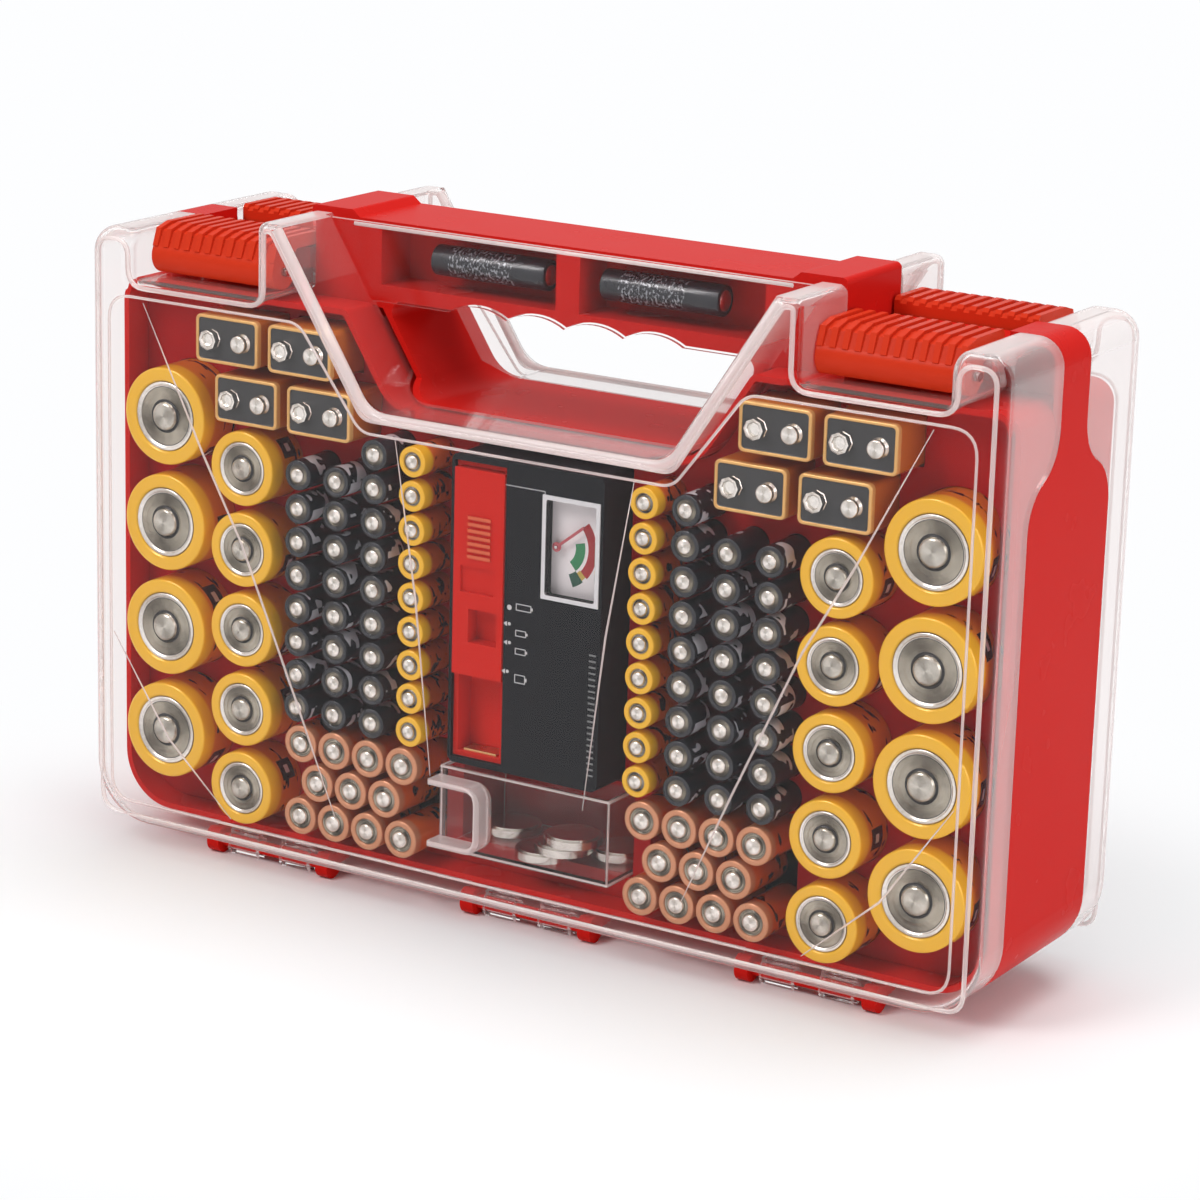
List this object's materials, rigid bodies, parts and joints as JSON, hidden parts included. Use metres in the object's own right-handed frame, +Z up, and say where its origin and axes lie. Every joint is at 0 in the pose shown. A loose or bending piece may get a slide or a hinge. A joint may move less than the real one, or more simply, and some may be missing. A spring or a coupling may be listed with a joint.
{
  "type": "battery storage carrying case",
  "caption": "Upright carrying case with a clear hinged lid and latches on both sides, cells in fitted sockets, a centre tester with a dial, a small coin-cell drawer and a scalloped grip.",
  "frame": {"origin": "under the middle of the case, on the floor that the hinge ears stand on", "axes": "+X to the right seen from the front, +Y from the front lid to the back lid, +Z up"},
  "size_m": [0.348, 0.101, 0.2325],
  "materials": {
    "red_plastic": "gloss",
    "latch_plastic": "gloss",
    "clear_plastic": "gloss",
    "pin_steel": "satin",
    "yellow_cell": "gloss",
    "black_cell": "gloss",
    "copper_cell": "gloss",
    "nine_volt_cell": "gloss",
    "coin_steel": "polished",
    "black_plastic": "satin",
    "contact_brass": "satin",
    "white_card": "matte",
    "needle_red": "satin",
    "coil_copper": "satin",
    "board_green": "matte"
  },
  "bodies": {
    "case": {"case_shell": "red_plastic", "front_tray_left": "red_plastic", "front_tray_middle": "red_plastic", "front_tray_right": "red_plastic", "back_tray": "red_plastic", "front_hinge_rods": "red_plastic", "back_hinge_rods": "red_plastic", "d_cells": "yellow_cell", "c_cells": "yellow_cell", "aaa_yellow_cells": "yellow_cell", "aaa_black_cells": "black_cell", "aa_front_cells": "copper_cell", "nine_volt_cells": "nine_volt_cell", "aa_back_cells": "copper_cell", "grip_front_cells": "black_cell", "grip_back_cells": "black_cell", "tester_housing": "black_plastic", "tester_cover": "black_plastic", "tester_trough": "red_plastic", "tester_trough_contact": "contact_brass", "meter_lens": "clear_plastic", "meter_dial": "white_card", "meter_pivot": "pin_steel", "meter_coil": "coil_copper", "tester_board": "board_green"},
    "front_lid": {"front_lid": "clear_plastic", "front_left_latch_pin": "pin_steel", "front_right_latch_pin": "pin_steel"},
    "back_lid": {"back_lid": "clear_plastic", "back_left_latch_pin": "pin_steel", "back_right_latch_pin": "pin_steel"},
    "front_right_latch": {"front_right_latch": "latch_plastic"},
    "front_left_latch": {"front_left_latch": "latch_plastic"},
    "back_right_latch": {"back_right_latch": "latch_plastic"},
    "back_left_latch": {"back_left_latch": "latch_plastic"},
    "coin_drawer": {"coin_drawer": "clear_plastic", "coin_cells": "coin_steel"},
    "tester_slide": {"tester_slide": "latch_plastic", "tester_slide_contact": "contact_brass"},
    "meter_needle": {"meter_needle": "needle_red"}
  },
  "joints": [
    {"name": "front_lid_hinge", "type": "hinge", "parent": "case", "child": "front_lid", "pos_m": [0, -0.032, 0.004], "axis": [1, 0, 0], "range_deg": [0, 100]},
    {"name": "back_lid_hinge", "type": "hinge", "parent": "case", "child": "back_lid", "pos_m": [0, 0.032, 0.004], "axis": [-1, 0, 0], "range_deg": [0, 100]},
    {"name": "front_right_latch_hinge", "type": "hinge", "parent": "front_lid", "child": "front_right_latch", "pos_m": [0.129, -0.0333, 0.2115], "axis": [1, 0, 0], "range_deg": [0, 85]},
    {"name": "front_left_latch_hinge", "type": "hinge", "parent": "front_lid", "child": "front_left_latch", "pos_m": [-0.129, -0.0333, 0.2115], "axis": [1, 0, 0], "range_deg": [0, 85]},
    {"name": "back_right_latch_hinge", "type": "hinge", "parent": "back_lid", "child": "back_right_latch", "pos_m": [0.129, 0.0333, 0.2115], "axis": [-1, 0, 0], "range_deg": [0, 85]},
    {"name": "back_left_latch_hinge", "type": "hinge", "parent": "back_lid", "child": "back_left_latch", "pos_m": [-0.129, 0.0333, 0.2115], "axis": [-1, 0, 0], "range_deg": [0, 85]},
    {"name": "coin_drawer_slide", "type": "slide", "parent": "case", "child": "coin_drawer", "axis": [0, -1, 0], "range_m": [0, 0.039]},
    {"name": "tester_slide_travel", "type": "slide", "parent": "case", "child": "tester_slide", "axis": [0, 0, -1], "range_m": [0, 0.025]},
    {"name": "meter_needle_turn", "type": "hinge", "parent": "case", "child": "meter_needle", "pos_m": [0.0104, -0.0369, 0.1353], "axis": [0, 1, 0], "range_deg": [0, 76], "stiffness_Nm_per_rad": 0.0002}
  ],
  "couplings": [
    {"joint": "coin_drawer_slide", "follows": "front_lid_hinge", "m_per_rad": 0.022}
  ]
}
